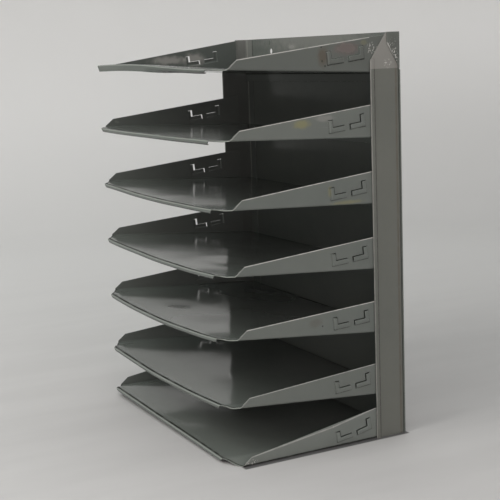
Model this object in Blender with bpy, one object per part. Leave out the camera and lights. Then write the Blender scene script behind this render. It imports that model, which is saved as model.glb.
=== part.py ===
"""Seven-tier desktop file sorter, folded and spot-welded from enamelled sheet steel.

Two L-section uprights stand in front of a back panel. Seven trays are fixed between the
uprights: six rise towards the front, and the lowest one is level and stands on the desk.

Metres. X runs across the rack, -Y is the open front, +Z is up. The origin is at the
middle of the footprint, on the surface that the rack stands on.
"""
import math

import bmesh
import bpy
from mathutils import Vector

# ---------------------------------------------------------------- driving dimensions
SHEET = 0.0009            # steel thickness, about 20 gauge
GAP = 0.0003              # clearance kept between touching sheets

DEPTH = 0.1905            # lip of the trays to the back of the panel
HEIGHT = 0.3850           # uprights and back panel
TRAY_WIDTH = 0.2976       # across the outside of a tray's side walls

TIERS = 7
TIER_PITCH = 0.0605       # from each sloping tray to the next
SECOND_LOWEST_REAR = 0.0447    # underside of tray 6 at the back plane
TILT = math.radians(3.25)      # trays 1 to 6 rise towards the front

WALL_REAR = 0.0353        # side wall height where its top line meets the back plane
TOP_WALL_REAR = 0.0370    # the same on the top tray, level with the top of the uprights
WALL_FRONT = 0.0092       # side wall height at its front end
WALL_SLANT = 0.0088       # the front end leans back this far
WALL_RELIEF = 0.0150      # side walls stop this far short of the back plane

LIP_REACH = 0.0127        # the floor runs this far beyond the side walls
LIP_INSET = 0.0185        # the lip stops this far inside the side walls
LIP_DROP = 0.0050         # folded edge, downwards
LIP_BACK = 0.0030         # folded edge, backwards under the floor
LIP_MITRE = 0.0050        # its lower edge is shorter by this much at each end
REAR_FLANGE = 0.0095      # rear edge of trays 1 to 6, turned down

# how far the middle of each floor's front edge has settled, top tray first
FRONT_SAG = (0.0022, 0.0010, 0.0030, 0.0042, 0.0062, 0.0050, 0.0)
LOW_TRAY_RISE = 0.0043    # the lowest floor is stepped up so that its lip clears the desk
LOW_TRAY_FOOT = 0.0030    # flat strip under its side walls, which stands on the desk

UPRIGHT_FLANGE = 0.0329   # side leg of the upright, front to back
UPRIGHT_LEG = 0.0150      # rear leg of the upright, across the panel
HEM = 0.0036              # width of the upright's folded front edge
CUT_LOW = 0.0245          # the upright's top front corner is cut from this far down
CUT_BACK = 0.0147         # to this far in front of the back plane

EAR_TOP = 0.0143          # the panel's top corners fold round the uprights: reach at the top
EAR_SHOULDER = 0.0100     # height of the ear's front edge
EAR_DROP = 0.0340         # height of the ear along the panel

HOLE_RADIUS = 0.0028      # hanging holes in the panel
HOLE_X = 0.0915
HOLE_DOWN = 0.0137        # below the panel's top edge
HOLE_SIDES = 16

# card holder: two L-shaped lances in each side wall, set out along and square to its top edge
LANCE_START = 0.0901      # from the wall's top front corner to the first lance
LANCE_END = 0.1292        # to the far side of the second lance
LANCE_TOP = 0.0066        # below the top edge
LANCE_BOTTOM = 0.0183
LANCE_ARM = 0.0049        # width of each arm
LANCE_REACH = 0.0168      # length of the lower arm
LANCE_RISE = 0.0018       # pressed out of the wall by this much
LANCE_SLIT = 0.0004       # width of the cut along its free edges
LANCE_RAMP = 0.0007       # width of the bend along its two outer edges

# ---------------------------------------------------------------- derived positions
REAR_Y = DEPTH / 2
LIP_Y = -DEPTH / 2
CORNER_Y = LIP_Y + LIP_REACH               # front bottom corner of the side walls
WALL_END_Y = REAR_Y - WALL_RELIEF
FLANGE_Y = REAR_Y - 2 * SHEET - 2 * GAP    # rear face of a tray's rear flange
WALL_X = TRAY_WIDTH / 2 - SHEET            # inner face of a side wall
LIP_X = TRAY_WIDTH / 2 - LIP_INSET
STEP_X = WALL_X - LOW_TRAY_FOOT
UPRIGHT_IN_X = TRAY_WIDTH / 2 + GAP
UPRIGHT_OUT_X = UPRIGHT_IN_X + SHEET
PANEL_X = UPRIGHT_OUT_X + GAP + SHEET      # outer face of the panel's ears

FLOOR_COLUMNS = 8         # across the floor, between the two ends of the lip
FLOOR_ROWS = 4            # between the side wall's ends


def clear_scene():
    for item in list(bpy.data.objects):
        bpy.data.objects.remove(item, do_unlink=True)


def enamel(name, shade):
    """Grey semi-gloss enamel."""
    material = bpy.data.materials.new(name)
    material.use_nodes = True
    shader = material.node_tree.nodes["Principled BSDF"]
    shader.inputs["Base Color"].default_value = (shade, shade, shade * 0.95, 1.0)
    shader.inputs["Metallic"].default_value = 0.0
    shader.inputs["Roughness"].default_value = 0.35
    material.diffuse_color = (shade, shade, shade * 0.95, 1.0)
    return material


def add_object(name, shape, material, thickness=0.0):
    """Turn a bmesh into an object; a thickness makes a sheet, behind its faces."""
    mesh = bpy.data.meshes.new(name)
    shape.to_mesh(mesh)
    shape.free()
    mesh.materials.append(material)
    item = bpy.data.objects.new(name, mesh)
    bpy.context.scene.collection.objects.link(item)
    if thickness:
        sheet = item.modifiers.new("sheet", "SOLIDIFY")
        sheet.thickness = thickness
        sheet.offset = -1.0
        sheet.use_even_offset = True
        sheet.use_quality_normals = True
    return item


def add_face(shape, points, towards):
    """One face through these points, turned to look towards a direction."""
    face = shape.faces.new([shape.verts.new(point) for point in points])
    face.normal_update()
    if face.normal.dot(towards) < 0:
        face.normal_flip()


def fill_plate(shape, loops, towards):
    """A flat plate inside the first loop, with the other loops as holes in it."""
    edges = []
    for loop in loops:
        corners = [shape.verts.new(point) for point in loop]
        edges += [shape.edges.new((a, b)) for a, b in zip(corners, corners[1:] + corners[:1])]
    made = bmesh.ops.triangle_fill(shape, edges=edges, use_beauty=True)
    for face in made["geom"]:
        if isinstance(face, bmesh.types.BMFace):
            face.normal_update()
            if face.normal.dot(towards) < 0:
                face.normal_flip()


def under_z(tier, y):
    """Height of a tray's underside along its side walls."""
    if tier == TIERS:
        return 0.0
    rear = SECOND_LOWEST_REAR + (TIERS - 1 - tier) * TIER_PITCH
    return rear + math.tan(TILT) * (REAR_Y - y)


def floor_z(tier, x, y):
    """Height of a floor's top face: flat at the rear, settled or stepped at the front."""
    forward = (FLANGE_Y - y) / (FLANGE_Y - LIP_Y)
    sag = FRONT_SAG[tier - 1] * (1.0 - (x / WALL_X) ** 2) * forward
    rise = 0.0
    if tier == TIERS:
        across = (STEP_X - abs(x)) / (STEP_X - LIP_X)
        forward = (WALL_END_Y - y) / (WALL_END_Y - LIP_Y)
        rise = LOW_TRAY_RISE * min(1.0, max(0.0, across)) * max(0.0, forward)
    return under_z(tier, y) + SHEET + rise - sag


def wall_top_line(tier):
    """The top front corner of a side wall and the unit direction of its top edge, in Y and Z."""
    start_y = CORNER_Y + WALL_SLANT
    start_z = under_z(tier, start_y) + WALL_FRONT
    run = REAR_Y - start_y
    rear_height = TOP_WALL_REAR if tier == 1 else WALL_REAR
    climb = under_z(tier, REAR_Y) + rear_height - start_z
    length = math.hypot(run, climb)
    return (start_y, start_z), (run / length, climb / length)


def wall_point(tier, side, along, down, out=0.0):
    """A point on a side wall, set out along and square to its top edge."""
    (start_y, start_z), (dir_y, dir_z) = wall_top_line(tier)
    y = start_y + along * dir_y + down * dir_z
    z = start_z + along * dir_z - down * dir_y
    return Vector((side * (WALL_X + out), y, z))


def lance_outline(corner, turn, inset=0.0, slit=0.0):
    """L-shape from its outer corner, pulled in along its bent edges and its cut edges."""
    reach = corner + turn * (LANCE_REACH - slit)
    elbow = corner + turn * (LANCE_ARM - slit)
    outer = corner + turn * inset
    low = LANCE_BOTTOM - inset
    inner = LANCE_BOTTOM - LANCE_ARM + slit
    top = LANCE_TOP + slit
    return [(outer, low), (reach, low), (reach, inner), (elbow, inner),
            (elbow, top), (outer, top)]


def add_lance(shape, tier, side, corner, turn):
    """The pressed-out L: bent along its outer edges, cut free along its inner ones."""
    inward = Vector((-side, 0, 0))
    foot = [wall_point(tier, side, *p) for p in lance_outline(corner, turn)]
    face = [wall_point(tier, side, *p, LANCE_RISE)
            for p in lance_outline(corner, turn, LANCE_RAMP, LANCE_SLIT)]
    add_face(shape, (foot[0], foot[1], face[1], face[0]), inward)
    add_face(shape, (foot[5], foot[0], face[0], face[5]), inward)
    add_face(shape, (face[0], face[1], face[2], face[3]), inward)
    add_face(shape, (face[0], face[3], face[4], face[5]), inward)
    return foot


def floor_stations():
    """X positions across the floor and Y positions along the side walls."""
    half = (LIP_X + WALL_X) / 2
    middle = [-LIP_X + 2 * LIP_X * i / FLOOR_COLUMNS for i in range(FLOOR_COLUMNS + 1)]
    across = [-WALL_X, -STEP_X, -half] + middle + [half, STEP_X, WALL_X]
    along = [CORNER_Y + (WALL_END_Y - CORNER_Y) * i / FLOOR_ROWS for i in range(FLOOR_ROWS + 1)]
    return across, along


def front_edge_y(x):
    """The floor's front edge: straight behind the lip, running back to the side walls."""
    return LIP_Y + LIP_REACH * max(0.0, (abs(x) - LIP_X) / (WALL_X - LIP_X))


def add_side_wall(shape, tier, side, along):
    """A tapered side wall with its card holder."""
    (start_y, start_z), (dir_y, dir_z) = wall_top_line(tier)
    bottom = [Vector((side * WALL_X, y, floor_z(tier, WALL_X, y))) for y in along]
    end_z = start_z + (WALL_END_Y - start_y) * dir_z / dir_y
    outline = bottom + [Vector((side * WALL_X, WALL_END_Y, end_z)),
                        Vector((side * WALL_X, start_y, start_z))]
    holes = [add_lance(shape, tier, side, LANCE_START, 1),
             add_lance(shape, tier, side, LANCE_END, -1)]
    fill_plate(shape, [outline] + holes, Vector((-side, 0, 0)))


def make_tray(tier, material):
    """One folded blank: floor, lip and two side walls, and a rear flange if it slopes."""
    shape = bmesh.new()
    up, forward = Vector((0, 0, 1)), Vector((0, -1, 0))
    across, along = floor_stations()

    def top(x, y):
        return Vector((x, y, floor_z(tier, x, y)))

    rows = along + [FLANGE_Y]
    for x0, x1 in zip(across, across[1:]):
        for y0, y1 in zip(rows, rows[1:]):
            add_face(shape, (top(x0, y0), top(x1, y0), top(x1, y1), top(x0, y1)), up)
        edge = [top(x0, front_edge_y(x0)), top(x1, front_edge_y(x1))]
        corners = [top(x1, CORNER_Y), top(x0, CORNER_Y)]
        nose = [p for p in corners if all((p - q).length > GAP for q in edge)]
        add_face(shape, edge + nose, up)
        if tier < TIERS:
            rear = [top(x0, FLANGE_Y), top(x1, FLANGE_Y)]
            low = [Vector((p.x, p.y, p.z - REAR_FLANGE)) for p in rear]
            add_face(shape, (rear[0], rear[1], low[1], low[0]), -forward)
        if abs(x0 + x1) < 2 * LIP_X:
            short = 1.0 - LIP_MITRE / LIP_X
            low = [Vector((p.x * short, p.y + LIP_BACK, p.z - LIP_DROP)) for p in edge]
            add_face(shape, (edge[0], edge[1], low[1], low[0]), forward)
    for side in (-1, 1):
        add_side_wall(shape, tier, side, along)
    bmesh.ops.remove_doubles(shape, verts=shape.verts, dist=SHEET / 100)
    return add_object(f"tray_{tier}", shape, material, SHEET)


def make_upright(side, name, material):
    """L-section with a hemmed front edge and its top front corner cut away."""
    front = REAR_Y - UPRIGHT_FLANGE
    back = REAR_Y - SHEET - GAP
    leg = UPRIGHT_IN_X - UPRIGHT_LEG
    profile = [(UPRIGHT_IN_X, front), (UPRIGHT_OUT_X + SHEET, front),
               (UPRIGHT_OUT_X + SHEET, front + HEM), (UPRIGHT_OUT_X, front + HEM),
               (UPRIGHT_OUT_X, back), (leg, back), (leg, back - SHEET),
               (UPRIGHT_IN_X, back - SHEET)]
    shape = bmesh.new()
    base = shape.faces.new([shape.verts.new((side * x, y, 0.0)) for x, y in profile])
    raised = bmesh.ops.extrude_face_region(shape, geom=[base])["geom"]
    tops = [item for item in raised if isinstance(item, bmesh.types.BMVert)]
    bmesh.ops.translate(shape, verts=tops, vec=(0, 0, HEIGHT))
    low = Vector((0, front, HEIGHT - CUT_LOW))
    high = Vector((0, REAR_Y - CUT_BACK, HEIGHT))
    away = (high - low).cross(Vector((1, 0, 0)))
    away = away if away.y < 0 else -away
    everything = shape.verts[:] + shape.edges[:] + shape.faces[:]
    cut = bmesh.ops.bisect_plane(shape, geom=everything, plane_co=low, plane_no=away,
                                 clear_outer=True)["geom_cut"]
    rim = [item for item in cut if isinstance(item, bmesh.types.BMEdge)]
    bmesh.ops.holes_fill(shape, edges=rim, sides=0)
    bmesh.ops.recalc_face_normals(shape, faces=shape.faces)
    return add_object(name, shape, material)


def make_panel(material):
    """Back panel with two hanging holes and its top corners folded round the uprights."""
    shape = bmesh.new()
    ear_z = HEIGHT - EAR_DROP
    edge_heights = (0.0, ear_z - SHEET, ear_z, HEIGHT)
    outline = [Vector((PANEL_X, REAR_Y, z)) for z in edge_heights]
    outline += [Vector((-PANEL_X, REAR_Y, z)) for z in reversed(edge_heights)]
    holes = []
    for side in (-1, 1):
        centre = Vector((side * HOLE_X, REAR_Y, HEIGHT - HOLE_DOWN))
        turns = [2 * math.pi * i / HOLE_SIDES for i in range(HOLE_SIDES)]
        holes.append([centre + HOLE_RADIUS * Vector((math.cos(a), 0, math.sin(a)))
                      for a in turns])
        ear = [(REAR_Y, ear_z), (REAR_Y, HEIGHT), (REAR_Y - EAR_TOP, HEIGHT),
               (REAR_Y - EAR_TOP, HEIGHT - EAR_SHOULDER)]
        add_face(shape, [Vector((side * PANEL_X, y, z)) for y, z in ear],
                 Vector((side, 0, 0)))
    fill_plate(shape, [outline] + holes, Vector((0, 1, 0)))
    bmesh.ops.remove_doubles(shape, verts=shape.verts, dist=SHEET / 100)
    return add_object("back_panel", shape, material, SHEET)


def main():
    clear_scene()
    make_panel(enamel("panel_enamel", 0.13))
    frame_enamel = enamel("frame_enamel", 0.14)
    make_upright(-1, "left_upright", frame_enamel)
    make_upright(1, "right_upright", frame_enamel)
    for tier in range(1, TIERS + 1):
        make_tray(tier, enamel(f"tray_{tier}_enamel", 0.12))


main()
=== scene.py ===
"""Looks of the seven-tier desktop file sorter: folded sheets in worn grey enamel.

Every CAD node is replaced by the same sheet with real bend radii, rounded rims, open lances,
settled floors and small dents. Metres, in the CAD frame: X across, -Y front, +Z up.
"""
import math

import bmesh
import bpy
from mathutils import Matrix, Vector, noise
from mathutils.geometry import delaunay_2d_cdt


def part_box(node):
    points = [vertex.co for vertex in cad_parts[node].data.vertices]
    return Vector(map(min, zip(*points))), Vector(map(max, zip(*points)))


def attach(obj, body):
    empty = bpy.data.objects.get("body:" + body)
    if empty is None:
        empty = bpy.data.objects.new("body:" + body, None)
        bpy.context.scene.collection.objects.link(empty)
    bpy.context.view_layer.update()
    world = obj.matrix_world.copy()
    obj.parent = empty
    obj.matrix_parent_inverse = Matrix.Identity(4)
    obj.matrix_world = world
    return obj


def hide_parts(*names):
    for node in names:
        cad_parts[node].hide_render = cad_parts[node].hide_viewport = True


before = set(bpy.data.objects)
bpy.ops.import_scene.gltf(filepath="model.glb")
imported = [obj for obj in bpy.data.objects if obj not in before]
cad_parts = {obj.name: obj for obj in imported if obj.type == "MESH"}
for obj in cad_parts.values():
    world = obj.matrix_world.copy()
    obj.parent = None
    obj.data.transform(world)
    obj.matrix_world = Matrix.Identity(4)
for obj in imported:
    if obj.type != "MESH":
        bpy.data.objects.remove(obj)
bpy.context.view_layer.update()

# ------------------------------------------------------------------ places, from the frame
TIERS = 7
SHEET = 0.0009
GAP = 0.0003
PANEL_X, REAR_Y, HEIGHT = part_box("back_panel")[1]
UPRIGHT_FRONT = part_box("right_upright")[0][1]
LIP_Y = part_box("tray_7")[0][1]
UPRIGHT_OUT_X = PANEL_X - SHEET - GAP
UPRIGHT_IN_X = UPRIGHT_OUT_X - SHEET
WALL_OUT_X = UPRIGHT_IN_X - GAP
WALL_X = WALL_OUT_X - SHEET                   # inner face of a tray's side wall
LEG_BACK_Y = REAR_Y - SHEET - GAP             # rear face of an upright's leg
FLANGE_Y = LEG_BACK_Y - SHEET - GAP           # rear face of a tray's rear flange

# ------------------------------------------------------------------ tray
TILT = math.tan(math.radians(3.25))
LIP_REACH = 0.0127
LIP_INSET = 0.0185
LIP_RADIUS = 0.0013
LIP_FACE = 0.0016                 # flat part of the lip below its fold
LIP_CURL = 0.0013                 # radius of the curl under the flat part
LIP_TAIL = 0.0014                 # flat part behind the curl
LIP_MITRE = 0.0050                # the lower edge stops this far inside the ends of the fold
LIP_GROOVE = 0.0003               # the floor is creased this deep behind the fold
LIP_WIDENING = 0.0024             # a lip that is bent open shows this much more tail
WALL_FRONT = 0.0092               # height of a side wall at its front and rear ends
WALL_REAR = 0.0353
TOP_WALL_REAR = 0.0370
WALL_SLANT = 0.0088               # a wall's front end slants back this far
WALL_RELIEF = 0.0150              # a wall stops this far in front of the panel's rear face
REAR_FLANGE = 0.0095
BEND = 0.0011                     # inner radius of the bends
# how far each tray's floor sags at its front edge, and dips in its front corners
FRONT_SAG = (0.0, 0.0010, 0.0030, 0.0042, 0.0062, 0.0050, 0.0)
CORNER_DIP = (0.0004, 0.0003, 0.0006, 0.0009, 0.0010, 0.0019, 0.0)
# millimetres that each tray has been bent upwards: right front, right rear, left front, left rear
BENT = ((-0.7, 0.0, 2.2, 0.0), (-1.1, 0.6, -0.5, 1.3), (-1.3, -0.3, 0.6, 0.6),
        (-0.2, -1.5, 0.5, -2.2), (2.4, -2.0, 0.0, -1.4), (0.3, -2.6, 0.5, -0.9),
        (0.0, 0.0, 4.4, 2.5))
BENT_FRONT, BENT_REAR = -0.07, 0.05           # Y of those four places
TOP_CROWN = 0.0034                # tray 1 is also arched upwards, highest at its front edge
TOP_CROWN_X, TOP_CROWN_REACH, TOP_CROWN_RUN = -0.045, 0.17, 0.13
TOP_FAR_WALL_FRONT = 0.0017       # height of tray 1's far wall at its front end
TOP_FAR_WALL_SLOPE = 0.2268       # how much taller it gets for each metre towards the rear
LOW_NEAR_WALL = 0.88              # share of its height that tray 7's near wall still has
LOW_NEAR_WALL_Y = 0.030           # it comes back to its full height behind here, over this run
LOW_NEAR_WALL_RUN = 0.028
WALL_SHARE = 0.985                # share of the half width where the side walls begin
WALL_BLEND = 80                   # and how sharply
DIP_REACH, DIP_RUN = 0.0075, 0.045            # half width and length of those dips
WAVE = 0.0005                     # height of the floors' waves, and how close they are
WAVE_X, WAVE_Y = 15, 19
LOW_TRAY_LIFT = 0.00008           # tray 7's waves never go below its floor as folded
BOW = 0.0004                      # sideways waves in the side walls, and how close they are
BOW_X, BOW_Y, BOW_Z = 50, 24, 30
SEED_X, SEED_Y = 7.31, 3.17       # each tray takes its waves from another place
DENT_STRETCH = 1.6                # dents are this much longer across the tray than along it
# dents in the floors: X, Y, radius and depth
DENTS = {4: ((0.055, -0.040, 0.045, 0.0007), (-0.020, 0.010, 0.050, -0.0005)),
         5: ((-0.060, -0.045, 0.040, 0.0006),),
         6: ((0.030, -0.030, 0.050, -0.0006),),
         7: ((0.016, -0.073, 0.033, 0.0009), (-0.085, -0.030, 0.040, 0.0006),
             (0.070, -0.030, 0.040, 0.0007))}
LOW_TRAY_RISE = 0.0043            # tray 7's floor is this much higher at its lip
LOW_TRAY_FOOT = 0.0030            # but not this close to its side walls
LIP_X = WALL_OUT_X - LIP_INSET
CORNER_Y = LIP_Y + LIP_REACH
WALL_START_Y = CORNER_Y + WALL_SLANT
WALL_END_Y = REAR_Y - WALL_RELIEF
RELIEF_SLIT = 0.0010              # where a wall's bend ends

# card holder lances, set out along and square to the wall's top edge
LANCE_START = 0.0901
LANCE_END = 0.1292
LANCE_TOP = 0.0066
LANCE_BOTTOM = 0.0183
LANCE_ARM = 0.0049
LANCE_REACH = 0.0168
LANCE_RISE = 0.0016
LANCE_RAMP = 0.0012
LANCE_SLIT = 0.0005
LANCE_GAPE = 0.0014               # the front lances have sprung back from their rear edge

# ------------------------------------------------------------------ uprights and panel
UPRIGHT_LEG = 0.0150
HEM = 0.0036
CUT_LOW = 0.0245                  # an upright's top front corner is cut away this far down
CUT_BACK = 0.0147                 # and to this far in front of the panel's rear face
EAR_REACH = 0.0143
EAR_SHOULDER = 0.0100
EAR_DROP = 0.0340
HOLE_RADIUS = 0.0028
HOLE_X = 0.0915
HOLE_DOWN = 0.0137
HOLE_SIDES = 32
PANEL_SINK = 0.00015              # the panel lies this far inside the CAD's rear face, plus its bow
PANEL_BOW = 0.0005
RIM = 0.00022                     # radius of the sheets' rims
RIM_ANGLE = 55                    # degrees between the faces of a rim


# ------------------------------------------------------------------ shape helpers
SLIVER = 1e-9                     # triangles of a smaller area only come from rounding


def smooth_step(t):
    t = max(0.0, min(1.0, t))
    return t * t * (3.0 - 2.0 * t)


def hump(t):
    """1 at the middle, falling smoothly to 0 at -1 and 1."""
    return 0.5 + 0.5 * math.cos(math.pi * t) if abs(t) < 1.0 else 0.0


def spread(start, end, step):
    """Evenly spaced values from start to end, no further apart than a step."""
    count = max(1, math.ceil(abs(end - start) / step - 1e-6))
    return [start + (end - start) * i / count for i in range(count + 1)]


def turn(centre, radius, start, end, count=4):
    """Points on an arc in a flat section, angles in degrees."""
    angles = [math.radians(start + (end - start) * i / count) for i in range(count + 1)]
    return [(centre[0] + radius * math.cos(a), centre[1] + radius * math.sin(a)) for a in angles]


def mirrored(values):
    """Negative copies of the values below the values themselves, without a second zero."""
    return [-v for v in reversed(values) if v > 0] + list(values)


def add_grid(shape, rows):
    """Quads between rows of points that have equal lengths."""
    made = [[shape.verts.new(point) for point in row] for row in rows]
    for low, high in zip(made, made[1:]):
        for a, b, c, d in zip(low, low[1:], high[1:], high):
            shape.faces.new((a, b, c, d))


def pairs(loop):
    return zip(loop, loop[1:] + loop[:1])


def inside(point, loop):
    """Even-odd test of a flat point against a closed loop."""
    hit = False
    for (x0, y0), (x1, y1) in pairs(loop):
        if (y0 > point[1]) != (y1 > point[1]):
            if point[0] < x0 + (point[1] - y0) * (x1 - x0) / (y1 - y0):
                hit = not hit
    return hit


def clearance(point, lines):
    """Distance from a flat point to the nearest of some lines."""
    best = 1.0
    spot = Vector(point)
    for a, b in lines:
        start, run = Vector(a), Vector(b) - Vector(a)
        along = max(0.0, min(1.0, (spot - start).dot(run) / max(run.length_squared, 1e-12)))
        best = min(best, (spot - start - run * along).length)
    return best


def add_plate(shape, place, outline, holes=(), creases=(), step=0.006):
    """Triangulate a flat outline with holes and creases, evenly filled, and place it."""
    lines = [line for loop in [outline] + list(holes) for line in pairs(loop)]
    lines += [line for crease in creases for line in zip(crease, crease[1:])]
    points = [Vector(p) for line in lines for p in line]
    edges = [(2 * i, 2 * i + 1) for i in range(len(lines))]
    for x in spread(min(p.x for p in points), max(p.x for p in points), step):
        for y in spread(min(p.y for p in points), max(p.y for p in points), step):
            if inside((x, y), outline) and clearance((x, y), lines) > step * 0.4:
                points.append(Vector((x, y)))
    corners, _, faces, _, _, _ = delaunay_2d_cdt(points, edges, [], 0, 1e-7)
    verts = [shape.verts.new(place(*p)) for p in corners]
    for face in faces:
        a, b, c = (corners[i] for i in face)
        centre = (a + b + c) / 3
        sliver = abs((b - a).cross(c - a)) < SLIVER
        if not sliver and inside(centre, outline) and not any(inside(centre, h) for h in holes):
            shape.faces.new([verts[i] for i in face])


def make_sheet(name, shape, guide, replaces, material):
    """A piece from a surface: thickness behind it, rounded rims, even shading.

    The guide is a point near a face and the direction that the face looks in.
    """
    bmesh.ops.remove_doubles(shape, verts=shape.verts, dist=4e-6)
    bmesh.ops.recalc_face_normals(shape, faces=shape.faces)
    spot, towards = guide
    nearest = min(shape.faces, key=lambda f: (f.calc_center_median() - spot).length)
    if nearest.normal.dot(towards) < 0:
        bmesh.ops.reverse_faces(shape, faces=shape.faces)
    for face in shape.faces:
        face.smooth = True
    mesh = bpy.data.meshes.new(name)
    shape.to_mesh(mesh)
    shape.free()
    mesh.materials.append(material)
    piece = bpy.data.objects.new(name, mesh)
    bpy.context.scene.collection.objects.link(piece)
    sheet = piece.modifiers.new("sheet", "SOLIDIFY")
    sheet.thickness = SHEET
    sheet.offset = -1.0
    sheet.use_even_offset = True
    sheet.use_quality_normals = True
    rim = piece.modifiers.new("rim", "BEVEL")
    rim.width = RIM
    rim.segments = 2
    rim.limit_method = "ANGLE"
    rim.angle_limit = math.radians(RIM_ANGLE)
    rim.use_clamp_overlap = False
    piece.modifiers.new("shading", "WEIGHTED_NORMAL").keep_sharp = True
    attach(piece, "root")
    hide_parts(replaces)
    return piece


# ------------------------------------------------------------------ materials
# mark colours: the dark one also paints shade, and the bare and pale ones also paint highlights
BARE_AND_HIGHLIGHT = (0.55, 0.55, 0.52, 1.0)
DIRT_AND_SHADE = (0.012, 0.013, 0.011, 1.0)
BROWN = (0.085, 0.066, 0.045, 1.0)
YELLOW = (0.23, 0.22, 0.085, 1.0)
PALE_RESIDUE_AND_HIGHLIGHT = (0.30, 0.30, 0.28, 1.0)
RAGGED = 0.70                     # how uneven the outlines of the marks are
FACET_HIGHLIGHT_Z = 0.3515                  # the uprights' facets carry a painted highlight above this height


class Nodes:
    """A material's node tree, with short calls for what the enamel needs."""

    def __init__(self, name):
        self.material = bpy.data.materials.new(name)
        self.material.use_nodes = True
        self.tree = self.material.node_tree
        self.shader = self.tree.nodes["Principled BSDF"]
        self.place = self.tree.nodes.new("ShaderNodeTexCoord").outputs["Object"]

    def node(self, kind, inputs, **settings):
        made = self.tree.nodes.new(kind)
        for key, value in settings.items():
            setattr(made, key, value)
        for key, value in inputs.items():
            self.feed(made.inputs[key], value)
        return made

    def feed(self, socket, value):
        if isinstance(value, bpy.types.NodeSocket):
            self.tree.links.new(value, socket)
        else:
            socket.default_value = value

    def maths(self, operation, a, b=0.0):
        return self.node("ShaderNodeMath", {0: a, 1: b}, operation=operation).outputs[0]

    def noise(self, scale, detail=3.0, roughness=0.5, at=None):
        return self.node("ShaderNodeTexNoise",
                         {"Vector": at or self.place, "Scale": scale, "Detail": detail,
                          "Roughness": roughness}).outputs["Fac"]

    def stretched(self, scale, turned=(0.0, 0.0, 0.0), shift=(0.0, 0.0, 0.0)):
        return self.node("ShaderNodeMapping", {"Vector": self.place, "Scale": scale,
                                               "Rotation": turned,
                                               "Location": shift}).outputs[0]

    def ramp(self, value, low, high, out_low=0.0, out_high=1.0):
        """Smoothly from out_low where the value is low to out_high where it is high."""
        return self.node("ShaderNodeMapRange", {0: value, 1: low, 2: high, 3: out_low,
                                                4: out_high},
                         interpolation_type="SMOOTHSTEP").outputs[0]

    def blend(self, amount, a, b):
        return self.node("ShaderNodeMix", {0: amount, 6: a, 7: b}, data_type="RGBA").outputs[2]

    def near(self, centre, radius):
        """A ragged patch: 1 at its centre, 0 beyond its radius."""
        offset = self.node("ShaderNodeVectorMath", {0: self.place, 1: centre},
                           operation="SUBTRACT").outputs[0]
        scaled = self.node("ShaderNodeVectorMath", {0: offset, 1: [1.0 / r for r in radius]},
                           operation="MULTIPLY").outputs[0]
        reach = self.node("ShaderNodeVectorMath", {0: scaled}, operation="LENGTH").outputs["Value"]
        uneven = self.maths("MULTIPLY", self.maths("SUBTRACT", self.noise(170.0), 0.5), RAGGED)
        return self.ramp(self.maths("ADD", reach, uneven), 1.0, 0.25)


def grey(level, warmth=0.0):
    """The enamel's grey, slightly green, or a warmer one."""
    return (level * (0.88 + warmth), level, level * (0.92 - warmth / 2), 1.0)


def beside_line(g, start, end, width):
    """A narrow ragged band along a straight line."""
    start, end = Vector(start), Vector(end)
    way, length = (end - start).normalized(), (end - start).length
    offset = g.node("ShaderNodeVectorMath", {0: g.place, 1: start}, operation="SUBTRACT").outputs[0]
    side = g.node("ShaderNodeVectorMath", {0: offset, 1: way}, operation="CROSS_PRODUCT").outputs[0]
    across = g.node("ShaderNodeVectorMath", {0: side}, operation="LENGTH").outputs["Value"]
    along = g.node("ShaderNodeVectorMath", {0: offset, 1: way},
                   operation="DOT_PRODUCT").outputs["Value"]
    within = g.maths("MULTIPLY", g.ramp(along, -width, 0.0), g.ramp(along, length + width, length))
    band = g.maths("MULTIPLY", g.ramp(across, width, width * 0.5), within)
    return g.maths("MULTIPLY", band, g.ramp(g.noise(120.0, 3.0), 0.3, 0.55, 0.55, 1.0))


def painted_shade_behind_lip(g):
    """Painted shade: a dark line in the crease behind the front fold, on faces that look up."""
    place = g.node("ShaderNodeSeparateXYZ", {0: g.place})
    edge = g.node("ShaderNodeMapRange",
                  {0: g.maths("ABSOLUTE", place.outputs["X"]), 1: LIP_X, 2: WALL_X,
                   3: LIP_Y + 0.0022, 4: CORNER_Y + 0.0010}).outputs[0]
    away = g.maths("ABSOLUTE", g.maths("SUBTRACT", place.outputs["Y"], edge))
    normal = g.node("ShaderNodeNewGeometry", {}).outputs["Normal"]
    upward = g.ramp(g.node("ShaderNodeSeparateXYZ", {0: normal}).outputs["Z"], 0.3, 0.8)
    uneven = g.ramp(g.noise(60.0, 3.0), 0.3, 0.6, 0.55, 1.0)
    return g.maths("MULTIPLY", g.maths("MULTIPLY", g.ramp(away, 0.0017, 0.0008), upward), uneven)


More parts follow.
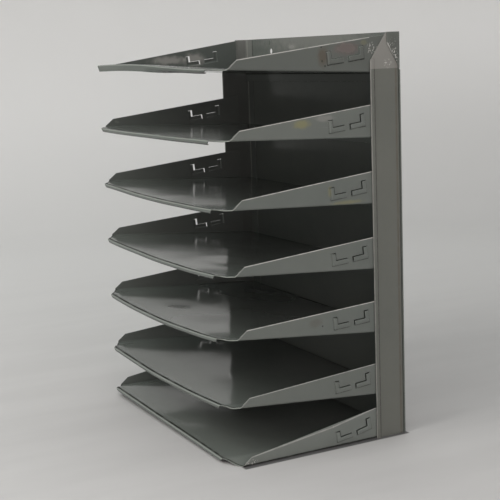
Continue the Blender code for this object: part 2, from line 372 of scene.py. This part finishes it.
def enamel(name, level, warmth=0.0, marks=(), lines=(), chips=(), lip=False, facet=False):
    """Worn semi-gloss enamel: faintly mottled, dusty, scratched, paler along its edges from wear
    and a painted highlight.

    Marks are stains and patches of painted shade, lines are pale edges of wear and painted
    highlight and dark edges of dirt and painted shade, and chips are places with flaked specks.
    The lip gets painted highlight and painted shade, the facet a painted highlight.
    """
    g = Nodes(name)
    broad = g.ramp(g.noise(7.0, 4.0), 0.3, 0.7)
    fine = g.ramp(g.noise(90.0, 4.0, 0.6), 0.25, 0.75)
    colour = g.blend(broad, grey(level * 0.96, warmth), grey(level * 1.05, warmth + 0.02))
    colour = g.blend(g.maths("MULTIPLY", fine, 0.3), colour, grey(level * 1.10, warmth + 0.02))
    dust = g.ramp(g.noise(700.0, 2.0), 0.70, 0.76)
    colour = g.blend(g.maths("MULTIPLY", dust, 0.2), colour, grey(0.24, 0.02))

    def scratches(angle, shift, scale):
        threads = g.noise(1.0, 2.0, 0.5, g.stretched(scale, (angle, 0.0, angle), shift))
        where = g.ramp(g.noise(22.0, 2.0, 0.5, g.stretched((1, 1, 1), shift=shift)), 0.56, 0.68)
        return g.maths("MULTIPLY", g.ramp(threads, 0.735, 0.755), where)

    scratch = g.maths("MAXIMUM", scratches(0.3, (3.0, 1.0, 0.0), (60.0, 25.0, 1400.0)),
                      scratches(-0.9, (0.0, 7.0, 2.0), (1500.0, 30.0, 50.0)))
    colour = g.blend(g.maths("MULTIPLY", scratch, 0.25), colour, grey(0.30, 0.02))

    # painted highlight and wear: edges are painted paler and made rougher
    rounded = g.node("ShaderNodeBevel", {"Radius": 0.0009}, samples=4).outputs[0]
    normal = g.node("ShaderNodeNewGeometry", {}).outputs["Normal"]
    straight = g.node("ShaderNodeVectorMath", {0: rounded, 1: normal},
                      operation="DOT_PRODUCT").outputs["Value"]
    rubbed_and_highlight = g.maths("MULTIPLY", g.ramp(straight, 0.97, 0.80),
                     g.ramp(g.noise(160.0, 3.0), 0.35, 0.6, 0.35, 1.0))
    colour = g.blend(g.maths("MULTIPLY", rubbed_and_highlight, 0.6), colour, grey(0.30, 0.02))
    matt = rubbed_and_highlight
    for centre, radius, tint, strength in marks:
        patch = g.maths("MULTIPLY", g.near(centre, radius), strength)
        colour = g.blend(patch, colour, tint)
        matt = g.maths("MAXIMUM", matt, patch)
    for start, end, width, tint, strength in lines:
        band = g.maths("MULTIPLY", beside_line(g, start, end, width), strength)
        colour = g.blend(band, colour, tint)
    for centre, radius in chips:
        flakes = g.ramp(g.noise(650.0, 3.0), 0.55, 0.62)
        flakes = g.maths("MULTIPLY", g.near(centre, radius), flakes)
        colour = g.blend(g.maths("MULTIPLY", flakes, 0.7), colour, BARE_AND_HIGHLIGHT)
    if facet:
        # painted highlight: above their crease the uprights' facets are painted paler, as if they
        # caught more light
        height = g.node("ShaderNodeSeparateXYZ", {0: g.place}).outputs["Z"]
        above = g.ramp(height, FACET_HIGHLIGHT_Z, FACET_HIGHLIGHT_Z + 0.0008)
        facet_highlight = g.maths("MULTIPLY", above, g.ramp(broad, 0.0, 1.0, 0.25, 0.5))
        colour = g.blend(facet_highlight, colour, PALE_RESIDUE_AND_HIGHLIGHT)
    if lip:
        facing = g.node("ShaderNodeSeparateXYZ", {0: normal}).outputs
        facing_y, facing_z = facing["Y"], facing["Z"]
        # painted highlight: faces of the lip that look to the front are painted lighter
        nose = g.maths("MULTIPLY", g.ramp(facing_y, -0.3, -0.7), g.ramp(facing_z, -0.15, 0.3))
        colour = g.blend(g.maths("MULTIPLY", nose, 0.55), colour, grey(0.36, 0.03))
        # painted shade: faces of the curl that look down are painted dark
        curl = g.maths("MULTIPLY", g.ramp(facing_y, -0.15, -0.4), g.ramp(facing_z, -0.2, -0.6))
        colour = g.blend(g.maths("MULTIPLY", curl, 0.7), colour, DIRT_AND_SHADE)
        # painted shade: the crease behind the fold is painted dark and made rougher
        crease = painted_shade_behind_lip(g)
        colour = g.blend(g.maths("MULTIPLY", crease, 0.9), colour, DIRT_AND_SHADE)
        matt = g.maths("MAXIMUM", matt, g.maths("MULTIPLY", crease, 3.0))

    g.feed(g.shader.inputs["Base Color"], colour)
    roughness = g.ramp(g.noise(11.0, 4.0, 0.6), 0.25, 0.75, 0.11, 0.16)
    roughness = g.maths("ADD", roughness, g.maths("MULTIPLY", matt, 0.25))
    roughness = g.maths("ADD", roughness, g.maths("MULTIPLY", scratch, 0.10))
    g.feed(g.shader.inputs["Roughness"], roughness)
    g.shader.inputs["Specular IOR Level"].default_value = 0.21
    g.shader.inputs["IOR"].default_value = 1.45
    height = g.maths("SUBTRACT", g.noise(45.0, 2.0), g.maths("MULTIPLY", scratch, 0.1))
    bump = g.node("ShaderNodeBump", {"Height": height, "Strength": 0.10, "Distance": 0.0003})
    g.feed(g.shader.inputs["Normal"], bump.outputs[0])
    return g.material


# ------------------------------------------------------------------ trays
def tray_slope(tier):
    return 0.0 if tier == TIERS else TILT


def wall_rise(tier, y):
    """Height of a side wall's top edge above the tray's underside at the back plane."""
    front = tray_slope(tier) * (REAR_Y - WALL_START_Y) + WALL_FRONT
    rear = TOP_WALL_REAR if tier == 1 else WALL_REAR
    return front + (rear - front) * (y - WALL_START_Y) / (REAR_Y - WALL_START_Y)


class Tray:
    """One tray's heights, and the way its sheet has settled."""

    def __init__(self, tier):
        self.tier = tier
        self.slope = tray_slope(tier)
        self.rear_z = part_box(f"tray_{tier}")[1][2] - wall_rise(tier, WALL_END_Y)

    def floor_z(self, y):
        """Top face of the floor as folded, before it settled."""
        return self.rear_z + self.slope * (REAR_Y - y) + SHEET

    def wall_point(self, along, down):
        """Y and Z of a point on a side wall, set out along and square to its top edge."""
        start_z = self.rear_z + wall_rise(self.tier, WALL_START_Y)
        end_z = self.rear_z + wall_rise(self.tier, REAR_Y)
        way = Vector((REAR_Y - WALL_START_Y, end_z - start_z)).normalized()
        return (WALL_START_Y + along * way.x + down * way.y, start_z + along * way.y - down * way.x)

    def opened(self, x):
        """How far the lip has been bent open: 0 as folded, 1 straight down, below 0 closed."""
        return 1.0 - 1.5 * smooth_step((x + 0.01) / 0.14) if self.tier == 1 else 0.0

    def bent(self, x, y):
        """How far the tray has been bent upwards at a place."""
        right_front, right_rear, left_front, left_rear = BENT[self.tier - 1]
        ahead = (BENT_REAR - y) / (BENT_REAR - BENT_FRONT)
        right = right_rear + (right_front - right_rear) * ahead
        left = left_rear + (left_front - left_rear) * ahead
        lift = (left + (right - left) * (x / WALL_X + 1.0) / 2.0) / 1000
        if self.tier == 1:
            arch = hump((x - TOP_CROWN_X) / TOP_CROWN_REACH)
            lift += TOP_CROWN * arch * smooth_step((BENT_REAR - y) / TOP_CROWN_RUN)
        return lift

    def wall_scale(self, x, y):
        """Height of a side wall after knocks, as a share of its height as folded."""
        if self.tier == 1 and x < 0:
            folded = wall_rise(1, y) - self.slope * (REAR_Y - y)
            bent = TOP_FAR_WALL_FRONT + TOP_FAR_WALL_SLOPE * max(0.0, y - WALL_START_Y)
            return bent / max(folded, WALL_FRONT)
        if self.tier == TIERS and x > 0:
            back = smooth_step((y - LOW_NEAR_WALL_Y) / LOW_NEAR_WALL_RUN)
            return LOW_NEAR_WALL + (1 - LOW_NEAR_WALL) * back
        return 1.0

    def settle(self, point):
        """Where a point of the folded tray has come to lie."""
        x, y, z = point
        across = abs(x) / WALL_X
        forward = (FLANGE_Y - y) / (FLANGE_Y - LIP_Y)
        inner = 1.0 - min(1.0, across) ** 2
        drop = FRONT_SAG[self.tier - 1] * inner * forward - self.bent(x, y)
        on_wall = smooth_step((across - WALL_SHARE) * WALL_BLEND)
        above = max(0.0, z - self.floor_z(y)) * on_wall
        drop += above * (1.0 - self.wall_scale(x, y))
        near_front = max(0.0, 1.0 - (y - LIP_Y) / DIP_RUN) ** 2
        near_corner = hump((abs(x) - WALL_X + DIP_REACH) / DIP_REACH)
        drop += CORNER_DIP[self.tier - 1] * near_corner * near_front
        if self.tier == TIERS:
            edge = (WALL_X - LOW_TRAY_FOOT - abs(x)) / (WALL_X - LOW_TRAY_FOOT - LIP_X)
            ahead = max(0.0, (WALL_END_Y - y) / (WALL_END_Y - LIP_Y))
            drop -= LOW_TRAY_RISE * smooth_step(edge) * ahead
        loose = min(1.0, 6.0 * inner) * smooth_step(forward * 6.0)
        seed = Vector((self.tier * SEED_X, self.tier * SEED_Y, 0.0))
        wave = WAVE * loose * noise.noise(Vector((x * WAVE_X, y * WAVE_Y, 0)) + seed)
        drop += -abs(wave) - LOW_TRAY_LIFT if self.tier == TIERS else wave
        for dent_x, dent_y, radius, depth in DENTS.get(self.tier, ()):
            apart = math.hypot(x - dent_x, (y - dent_y) * DENT_STRETCH)
            drop += depth * hump(apart / radius)
        free = smooth_step((UPRIGHT_FRONT - 0.004 - y) / 0.03)
        free *= smooth_step((z - self.floor_z(y) - BEND) / 0.008) * on_wall
        bow = BOW * noise.noise(Vector((y * BOW_Y, z * BOW_Z, x * BOW_X)) + seed)
        return Vector((x + math.copysign(bow * free, x), y, z - drop))


def front_edge_y(x):
    """Where the floor ends: at the lip's fold, or running back to the side walls."""
    start = LIP_Y + LIP_RADIUS
    return start + (CORNER_Y - start) * max(0.0, (abs(x) - LIP_X) / (WALL_X - LIP_X))


def lip_profile(opened):
    """Section of the lip from the floor's front edge: a fold, a flat, a curl and a tail."""
    down = 190 - 10 * opened
    back = down + 60 * (1.0 - opened)

    def onward(start, angle, length):
        way = math.radians(angle)
        return (start[0] - length * math.sin(way), start[1] + length * math.cos(way))

    profile = turn((LIP_RADIUS, -LIP_RADIUS), LIP_RADIUS, 90, down, 8)
    profile += [onward(profile[-1], down, LIP_FACE * t) for t in (0.5, 1.0)]
    y, z = profile[-1]
    way = math.radians(down)
    centre = (y - LIP_CURL * math.cos(way), z - LIP_CURL * math.sin(way))
    profile += turn(centre, LIP_CURL, down, back + 0.5, 4)[1:]
    tail = LIP_TAIL + LIP_WIDENING * max(0.0, opened)
    profile += [onward(profile[-1], back, tail * t) for t in (0.5, 1.0)]
    return profile


def add_floor(shape, tray):
    """Floor, side bends, folded lip and, on the sloping trays, a rear flange turned down."""
    inner = spread(0.0, LIP_X, 0.0065) + spread(LIP_X, WALL_X - BEND, 0.0022)[1:]
    bend = turn((WALL_X - BEND, BEND), BEND, -90, 0)
    stations = [(x, 0.0) for x in inner] + bend[1:]
    section = [(-x, z) for x, z in reversed(stations) if x > 0] + stations
    flat = mirrored(inner + [WALL_X])

    def row(points, y_of, sunk=0.0):
        return [Vector((x, y_of(x), tray.floor_z(y_of(x)) + z
                        - sunk * smooth_step((WALL_X - BEND - abs(x)) / 0.008)))
                for x, z in points]

    rows = [row(section, lambda x, t=t: front_edge_y(x) * (1 - t) + CORNER_Y * t,
                LIP_GROOVE * hump((t - 0.10) / 0.08))
            for t in (0.0, 0.03, 0.06, 0.10, 0.14, 0.18, 0.4, 0.7, 1.0)]
    rows += [row(section, lambda x, y=y: y) for y in spread(CORNER_Y, WALL_END_Y, 0.006)[1:]]
    add_grid(shape, rows)
    plane = [(x, 0.0) for x in flat]
    middle = [(x, z) for x, z in plane if abs(x) < WALL_X - 1e-6]
    slit_y = WALL_END_Y + RELIEF_SLIT
    add_grid(shape, [row(middle, lambda x, y=y: y) for y in (WALL_END_Y, slit_y)])
    fold = BEND + SHEET if tray.tier < TIERS else 0.0
    rows = [row(plane, lambda x, y=y: y) for y in spread(slit_y, FLANGE_Y - fold, 0.006)]
    if tray.tier < TIERS:
        level = tray.floor_z(FLANGE_Y - fold)
        profile = turn((FLANGE_Y - fold, level - fold), fold, 90, 0)[1:]
        profile += [(FLANGE_Y, level - drop) for drop in spread(fold, REAR_FLANGE, 0.004)[1:]]
        rows += [[Vector((x, y, z)) for x, _ in plane] for y, z in profile]
    add_grid(shape, rows)

    level = tray.floor_z(LIP_Y + LIP_RADIUS)
    columns = []
    for x in mirrored(inner):
        if abs(x) < LIP_X + 1e-6:
            profile = lip_profile(tray.opened(x))
            bottom = profile[-1][1]
            columns.append([
                Vector((x * (1.0 - LIP_MITRE * z / bottom / LIP_X), LIP_Y + y, level + z))
                for y, z in profile])
    add_grid(shape, columns)


def add_wall(shape, tray, side):
    """A tapered side wall with the two lances of its card holder."""
    bottom = [(y, tray.floor_z(y) + BEND) for y in spread(CORNER_Y, WALL_END_Y, 0.006)]
    top = [(y, tray.rear_z + wall_rise(tray.tier, y)) for y in (WALL_END_Y, WALL_START_Y)]
    holes = []
    for corner, way in ((LANCE_START, 1), (LANCE_END, -1)):

        def spot(along, up, corner=corner, way=way):
            return tray.wall_point(corner + way * along, LANCE_BOTTOM - up)

        tall = LANCE_BOTTOM - LANCE_TOP
        hole = [(0, 0), (LANCE_REACH - LANCE_SLIT, 0), (LANCE_REACH, 0), (LANCE_REACH, LANCE_ARM),
                (LANCE_ARM, LANCE_ARM), (LANCE_ARM, tall), (0, tall), (0, tall - LANCE_SLIT)]
        holes.append([spot(*p) for p in hole])
        reach, arm, height = LANCE_REACH - LANCE_SLIT, LANCE_ARM - LANCE_SLIT, tall - LANCE_SLIT
        stem = LANCE_ARM - (LANCE_GAPE if way > 0 else LANCE_SLIT)
        outline = [(0, 0), (reach, 0)] + turn((reach - 0.0012, arm - 0.0012), 0.0012, 0, 90, 3)
        outline += [(stem, arm)] + turn((stem - 0.0009, height - 0.0009), 0.0009, 0, 90, 3)
        outline += [(0, height)]
        creases = [[(inset, height), (inset, inset), (reach, inset)]
                   for inset in (LANCE_RAMP * t for t in (0.33, 0.67, 1.0))]

        def pressed(along, up, spot=spot):
            out = LANCE_RISE * smooth_step(min(along, up) / LANCE_RAMP)
            y, z = spot(along, up)
            return Vector((side * (WALL_X + out), y, z))

        add_plate(shape, pressed, outline, creases=creases, step=0.002)
    add_plate(shape, lambda y, z: Vector((side * WALL_X, y, z)), bottom + top, holes)


def make_tray(tier, material):
    tray = Tray(tier)
    shape = bmesh.new()
    add_floor(shape, tray)
    add_wall(shape, tray, -1)
    add_wall(shape, tray, 1)
    for vert in shape.verts:
        vert.co = tray.settle(vert.co)
    guide = (Vector((0, 0, tray.floor_z(0))), Vector((0, 0, 1)))
    return make_sheet(f"tray_{tier}_sheet", shape, guide, f"tray_{tier}", material)


# ------------------------------------------------------------------ uprights
def make_upright(side, node, material):
    """Hemmed L-section with its top front corner cut away."""
    inner_radius = 0.0005
    hem_radius = SHEET + 0.00005
    leg_y = LEG_BACK_Y - SHEET
    hem_x = UPRIGHT_IN_X + 2 * hem_radius
    nose_y = UPRIGHT_FRONT + hem_radius
    leg_end = UPRIGHT_IN_X - UPRIGHT_LEG
    leg = [(x, leg_y) for x in spread(leg_end, UPRIGHT_IN_X - inner_radius, 0.005)]
    bend = turn((UPRIGHT_IN_X - inner_radius, leg_y - inner_radius), inner_radius, 90, 0)
    flange = [(UPRIGHT_IN_X, y) for y in spread(leg_y - inner_radius, nose_y, 0.003)]
    nose = turn((UPRIGHT_IN_X + hem_radius, nose_y), hem_radius, 180, 360, 8)
    hem = [(hem_x, y) for y in spread(nose_y, UPRIGHT_FRONT + HEM, 0.0015)]
    flat_z = HEIGHT - CUT_LOW
    rows = []
    for z in spread(0.0, flat_z, 0.008) + [flat_z + CUT_LOW * i / 8 for i in range(1, 9)]:
        points = []
        for part, columns in enumerate((leg, bend[1:], flange[1:], nose[1:], hem[1:])):
            for x, y in columns:
                limit = HEIGHT
                if y < REAR_Y - CUT_BACK:
                    limit = flat_z + CUT_LOW * (y - nose_y) / (REAR_Y - CUT_BACK - nose_y)
                if part > 2:
                    limit = flat_z
                high = min(z, flat_z) + max(0.0, z - flat_z) * max(0.0, limit - flat_z) / CUT_LOW
                points.append(Vector((side * x, y, high)))
        rows.append(points)
    shape = bmesh.new()
    add_grid(shape, rows)
    spot = Vector((side * UPRIGHT_IN_X, UPRIGHT_FRONT + 0.015, HEIGHT / 2))
    guide = (spot, Vector((-side, 0, 0)))
    return make_sheet(f"{node}_sheet", shape, guide, node, material)


# ------------------------------------------------------------------ back panel
def make_panel(material):
    """Back sheet with two hanging holes, its top corners folded round the uprights."""
    radius = 0.0013
    ear_z = HEIGHT - EAR_DROP
    fold_x = PANEL_X - radius
    shoulder_z = HEIGHT - EAR_SHOULDER
    heights = spread(ear_z, shoulder_z, 0.004) + spread(shoulder_z, HEIGHT, 0.004)[1:]
    side = [(PANEL_X, 0.0), (PANEL_X, ear_z - SHEET)] + [(fold_x, z) for z in heights]
    outline = side + [(-x, z) for x, z in reversed(side)]
    holes = [turn((x, HEIGHT - HOLE_DOWN), HOLE_RADIUS, 0, 360, HOLE_SIDES)[:-1]
             for x in (-HOLE_X, HOLE_X)]
    shape = bmesh.new()
    add_plate(shape, lambda x, z: Vector((x, REAR_Y, z)), outline, holes, step=0.008)
    for way in (-1, 1):
        rows = []
        for z in heights:
            reach = EAR_REACH * min(1.0, (z - ear_z) / (EAR_DROP - EAR_SHOULDER))
            section = turn((fold_x, REAR_Y - radius), radius, 90, 0)
            section += [(PANEL_X, REAR_Y - radius - max(0.0, reach - radius) * t)
                        for t in (0.25, 0.5, 0.75, 1.0)]
            rows.append([Vector((way * x, y, z)) for x, y in section])
        add_grid(shape, rows)
    for vert in shape.verts:
        x, y, z = vert.co
        free = hump(x / PANEL_X) * hump((z - HEIGHT / 2) / (HEIGHT / 2))
        bow = PANEL_BOW * free * (0.5 + noise.noise(Vector((x * 12, 0, z * 10))))
        vert.co.y -= PANEL_SINK + bow
    guide = (Vector((0, REAR_Y, HEIGHT / 2)), Vector((0, 1, 0)))
    return make_sheet("back_panel_sheet", shape, guide, "back_panel", material)


# ------------------------------------------------------------------ wear of each piece
ENAMEL_LEVEL = 0.139
TRAY_LEVEL = {1: 0.108, 7: 0.167}             # the trays whose enamel is darker or lighter
LOW_WEAR_HIGHLIGHT_Y = 0.014                 # the pale line of wear and painted highlight on tray 7's near wall turns here
LEFT_PALE_LINE_Z = 0.2                  # the left upright's fold is painted paler above this height
DEEP = 0.002                      # marks reach this far square to the face that they are on
# marks: centre, radii, colour and strength
TRAY_MARKS = {
    1: (((WALL_OUT_X, 0.0135, 0.3650), (DEEP, 0.0085, 0.0120), BROWN, 0.55),
        ((WALL_OUT_X, 0.0375, 0.3715), (DEEP, 0.0190, 0.0082), (0.135, 0.112, 0.105, 1.0), 0.75),
        ((WALL_OUT_X, 0.0113, 0.3734), (DEEP, 0.0013, 0.0013), DIRT_AND_SHADE, 0.9),
        ((WALL_OUT_X, 0.0120, 0.3610), (DEEP, 0.0012, 0.0015), DIRT_AND_SHADE, 0.8),
        ((WALL_OUT_X, 0.0150, 0.3565), (DEEP, 0.0014, 0.0014), DIRT_AND_SHADE, 0.9),
        ((WALL_OUT_X, 0.0571, 0.3760), (DEEP, 0.0050, 0.0032), YELLOW, 0.2),
        ((-WALL_X, 0.0270, 0.3650), (DEEP, 0.0190, 0.0100), PALE_RESIDUE_AND_HIGHLIGHT, 0.8),
        ((-WALL_X, -0.0040, 0.3655), (DEEP, 0.0300, 0.0060), PALE_RESIDUE_AND_HIGHLIGHT, 0.8)),
    2: (((WALL_OUT_X, -0.0110, 0.3060), (DEEP, 0.0120, 0.0056), YELLOW, 0.5),
        ((WALL_OUT_X, 0.0130, 0.3100), (DEEP, 0.0130, 0.0040), PALE_RESIDUE_AND_HIGHLIGHT, 0.3)),
    3: (((WALL_OUT_X, 0.0175, 0.2430), (DEEP, 0.0042, 0.0070), YELLOW, 0.35),
        ((WALL_OUT_X, 0.0350, 0.2318), (DEEP, 0.0240, 0.0028), YELLOW, 0.35)),
    5: (((WALL_OUT_X, -0.0020, 0.1230), (DEEP, 0.0100, 0.0060), BROWN, 0.25),
        ((WALL_OUT_X, 0.0050, 0.1190), (DEEP, 0.0013, 0.0013), DIRT_AND_SHADE, 0.8)),
}
# chips: centre and radii
TRAY_CHIPS = {
    1: (((WALL_OUT_X, 0.0660, 0.3705), (DEEP, 0.0080, 0.0070)),),
    7: (((WALL_OUT_X, -0.0740, 0.0035), (DEEP, 0.0070, 0.0032)),),
}


def tray_lines(tier):
    """Pale edges of the right side wall, from wear and a painted highlight, painted shade round its
    lances and a painted contact shadow at the base.
    """
    tray = Tray(tier)
    corners = [(CORNER_Y, tray.floor_z(CORNER_Y)),
               (WALL_START_Y, tray.rear_z + wall_rise(tier, WALL_START_Y)),
               (UPRIGHT_FRONT, tray.rear_z + wall_rise(tier, UPRIGHT_FRONT))]
    if tier == TIERS:
        corners.insert(2, (LOW_WEAR_HIGHLIGHT_Y, tray.rear_z + wall_rise(tier, LOW_WEAR_HIGHLIGHT_Y)))
    places = [tray.settle((WALL_X + SHEET, y, z)) for y, z in corners]
    # the wall's front and top edges: wear and a painted highlight
    lines = [(places[0], places[1], 0.0007, BARE_AND_HIGHLIGHT, 0.25)]
    rubbed_and_highlight = 0.7 if tier < 6 else 0.4
    lines += [(a, b, 0.0009, BARE_AND_HIGHLIGHT, rubbed_and_highlight) for a, b in zip(places[1:], places[2:])]
    for corner, way in ((LANCE_START, 1), (LANCE_END, -1)):
        turns = ((0.0, LANCE_TOP), (0.0, LANCE_BOTTOM), (LANCE_REACH, LANCE_BOTTOM))
        outline = [tray.wall_point(corner + way * along, down) for along, down in turns]
        outline = [tray.settle((WALL_OUT_X, y, z)) for y, z in outline]
        # painted shade along the lances' outlines
        lance_shade = (0.5, 0.85) if tier == 1 else (0.2, 0.5)
        lines += [(a, b, 0.0010, DIRT_AND_SHADE, d) for a, b, d in zip(outline, outline[1:], lance_shade)]
    if tier == TIERS:
        # painted contact shadow along the foot of tray 7's near wall
        lines.append(((WALL_OUT_X, CORNER_Y, 0.0), (WALL_OUT_X, REAR_Y, 0.0), 0.0024, DIRT_AND_SHADE, 0.9))
    return lines


def frame_lines(side):
    """The right upright's painted highlight on its hem's nose and painted shade beside the hem, or
    a paler line up the left one's fold.
    """
    if side < 0:
        fold = (0.004 - UPRIGHT_IN_X, LEG_BACK_Y - SHEET)
        # a paler line up the left upright's fold
        return [((*fold, LEFT_PALE_LINE_Z), (*fold, HEIGHT), 0.0016, PALE_RESIDUE_AND_HIGHLIGHT, 0.6)]
    nose_x = UPRIGHT_IN_X + SHEET
    top = HEIGHT - CUT_LOW
    back = UPRIGHT_FRONT + HEM + 0.0006
    # painted highlight along the hem's nose and painted shade beside the hem's edge
    return [((nose_x, UPRIGHT_FRONT, 0.0), (nose_x, UPRIGHT_FRONT, top), 0.0010, BARE_AND_HIGHLIGHT, 0.35),
            ((UPRIGHT_OUT_X, back, 0.0), (UPRIGHT_OUT_X, back, top), 0.0011, DIRT_AND_SHADE, 0.6),
            ((UPRIGHT_OUT_X, REAR_Y - 0.0045, 0.0), (UPRIGHT_OUT_X, REAR_Y - 0.0045, top),
             0.0014, BROWN, 0.4)]


panel_enamel = enamel(
    "panel_enamel", 0.140, 0.01,
    marks=(((0.0, REAR_Y - SHEET, 0.3840), (0.1520, DEEP, 0.0260), PALE_RESIDUE_AND_HIGHLIGHT, 0.45),
           # painted shade: the folded ear is painted darker
           ((PANEL_X, 0.0880, 0.3690), (DEEP, 0.0160, 0.0260), DIRT_AND_SHADE, 0.3),
           ((-0.0450, REAR_Y - SHEET, 0.3750), (0.0140, DEEP, 0.0045), PALE_RESIDUE_AND_HIGHLIGHT, 0.5),
           ((PANEL_X, 0.0906, 0.3335), (DEEP, 0.0022, 0.0018), DIRT_AND_SHADE, 0.8)),
    lines=(((-0.0943, REAR_Y - SHEET, 0.3785), (-0.0943, REAR_Y - SHEET, 0.3825),
            0.0008, DIRT_AND_SHADE, 0.8),
           # painted highlight along the ear's folded edge
           ((PANEL_X, REAR_Y - EAR_REACH, HEIGHT - EAR_SHOULDER),
            (PANEL_X, REAR_Y - 0.002, HEIGHT - EAR_DROP), 0.0010, BARE_AND_HIGHLIGHT, 0.6)),
    chips=(((PANEL_X, 0.0860, 0.3640), (0.003, 0.0100, 0.0180)),))
left_enamel = enamel("left_frame_enamel", 0.130, 0.01, lines=frame_lines(-1), facet=True)
right_enamel = enamel(
    "right_frame_enamel", 0.130, 0.05, lines=frame_lines(1), facet=True,
    chips=(((UPRIGHT_OUT_X, 0.0820, 0.3570), (0.003, 0.0065, 0.0060)),
           ((UPRIGHT_OUT_X + SHEET, 0.0650, 0.3423), (DEEP, 0.0018, 0.0024))))
make_panel(panel_enamel)
make_upright(-1, "left_upright", left_enamel)
make_upright(1, "right_upright", right_enamel)
for tier in range(1, TIERS + 1):
    paint = enamel(f"tray_{tier}_enamel", TRAY_LEVEL.get(tier, ENAMEL_LEVEL),
                   marks=TRAY_MARKS.get(tier, ()), lines=tray_lines(tier),
                   chips=TRAY_CHIPS.get(tier, ()), lip=True)
    make_tray(tier, paint)


# ------------------------------------------------------------------ stage
def pale(level):
    """A neutral grey under these lights."""
    return (level, level, level * 0.99, 1.0)


def make_stage():
    """A pale bowl-shaped sweep: a floor that curves up into a wall all round."""
    flat, bend, top = 1.25, 0.55, 2.2
    profile = [(r, 0.0) for r in spread(0.0, flat, 0.25)]
    profile += turn((flat, bend), bend, -90, 0, 12)[1:]
    profile += [(flat + bend, z) for z in spread(bend, top, 0.4)[1:]]
    shape = bmesh.new()
    around = [2 * math.pi * i / 96 for i in range(97)]
    add_grid(shape, [[Vector((r * math.cos(a), r * math.sin(a), z)) for a in around]
                     for r, z in profile])
    bmesh.ops.remove_doubles(shape, verts=shape.verts, dist=1e-5)
    bmesh.ops.recalc_face_normals(shape, faces=shape.faces)
    for face in shape.faces:
        face.smooth = True
    mesh = bpy.data.meshes.new("sweep")
    shape.to_mesh(mesh)
    shape.free()
    sweep = bpy.data.objects.new("sweep", mesh)
    bpy.context.scene.collection.objects.link(sweep)
    g = Nodes("sweep_paint")
    place = g.node("ShaderNodeSeparateXYZ", {0: g.place})
    x, y, height = (place.outputs[axis] for axis in "XYZ")
    streaks = g.noise(1.0, 4.0, 0.55, g.stretched((14.0, 3.0, 3.0), (0.0, 0.0, -0.45)))
    floor_colour = g.blend(g.ramp(streaks, 0.35, 0.65), pale(0.58), pale(0.61))
    radius = g.maths("SQRT", g.maths("ADD", g.maths("MULTIPLY", x, x), g.maths("MULTIPLY", y, y)))
    floor_colour = g.blend(g.ramp(radius, 0.3, 1.1), floor_colour, pale(0.72))
    colour = g.blend(g.ramp(height, 0.0, 0.28), floor_colour, pale(0.80))
    # painted shade: the sweep is darkened towards the front left
    dark_side = g.maths("MULTIPLY", g.ramp(y, -0.5, -0.9), g.ramp(x, -0.2, -0.7))
    colour = g.blend(g.maths("MULTIPLY", dark_side, 0.75), colour, (0.0, 0.0, 0.0, 1.0))
    rightward = g.maths("ADD", g.maths("MULTIPLY", x, 0.466), g.maths("MULTIPLY", y, 0.885))
    shade = g.maths("MULTIPLY", g.ramp(rightward, -0.6, 0.6, 0.0, 0.2),
                    g.ramp(height, 0.15, 0.45, 1.0, 0.2))
    colour = g.blend(shade, colour, (0.0, 0.0, 0.0, 1.0))
    # painted contact shadow: a narrow dark line round the lowest tray
    beside = g.ramp(g.maths("ABSOLUTE", x), 0.1535, 0.1555, 1.0, 0.0)
    along = g.maths("MULTIPLY", g.ramp(y, -0.0850, -0.0820), g.ramp(y, 0.0960, 0.0985, 1.0, 0.0))
    contact_shadow = g.maths("MULTIPLY", g.maths("MULTIPLY", beside, along), 0.85)
    colour = g.blend(contact_shadow, colour, pale(0.03))
    g.feed(g.shader.inputs["Base Color"], colour)
    g.shader.inputs["Roughness"].default_value = 0.7
    mesh.materials.append(g.material)


def make_light(name, azimuth, elevation, distance, size, power, colour):
    """A soft square light aimed at the middle of the rack, angles in degrees."""
    a, e = math.radians(azimuth), math.radians(elevation)
    way = Vector((math.sin(a) * math.cos(e), -math.cos(a) * math.cos(e), math.sin(e)))
    lamp = bpy.data.lights.new(name, "AREA")
    lamp.shape = "SQUARE"
    lamp.size = size
    lamp.energy = power
    lamp.color = colour
    item = bpy.data.objects.new(name, lamp)
    item.location = Vector((0, 0, HEIGHT / 2)) + way * distance
    item.rotation_euler = way.to_track_quat("Z", "Y").to_euler()
    bpy.context.scene.collection.objects.link(item)


def make_camera():
    """The photograph's camera: where it aims, how far off it is and how it is turned."""
    aim = Vector((0.00804, 0.00635, 0.17163))
    distance, azimuth, elevation, roll = 1.18715, 1.08589, 0.16969, -0.03767
    back = Vector((math.sin(azimuth) * math.cos(elevation),
                   -math.cos(azimuth) * math.cos(elevation), math.sin(elevation)))
    right = (-back).cross(Vector((0, 0, 1))).normalized()
    up = right.cross(-back)
    turned = (math.cos(roll) * right + math.sin(roll) * up,
              math.cos(roll) * up - math.sin(roll) * right, back)
    lens = bpy.data.cameras.new("camera")
    lens.sensor_width = 36.0
    lens.lens = 83.5
    camera = bpy.data.objects.new("camera", lens)
    facing = Matrix(turned).transposed().to_4x4()
    camera.matrix_world = Matrix.Translation(aim + back * distance) @ facing
    bpy.context.scene.collection.objects.link(camera)
    bpy.context.scene.camera = camera


make_stage()
make_light("key", 5, 38, 1.5, 0.9, 10.0, (1.0, 0.98, 0.95))
make_light("fill", 76, 7, 1.5, 0.9, 8.5, (1.0, 0.84, 0.86))
make_camera()
world = bpy.data.worlds.new("studio")
bpy.context.scene.world = world
world.use_nodes = True
world.node_tree.nodes["Background"].inputs["Color"].default_value = (0.98, 1.0, 0.99, 1.0)
world.node_tree.nodes["Background"].inputs["Strength"].default_value = 0.9
bpy.context.scene.view_settings.view_transform = "Standard"
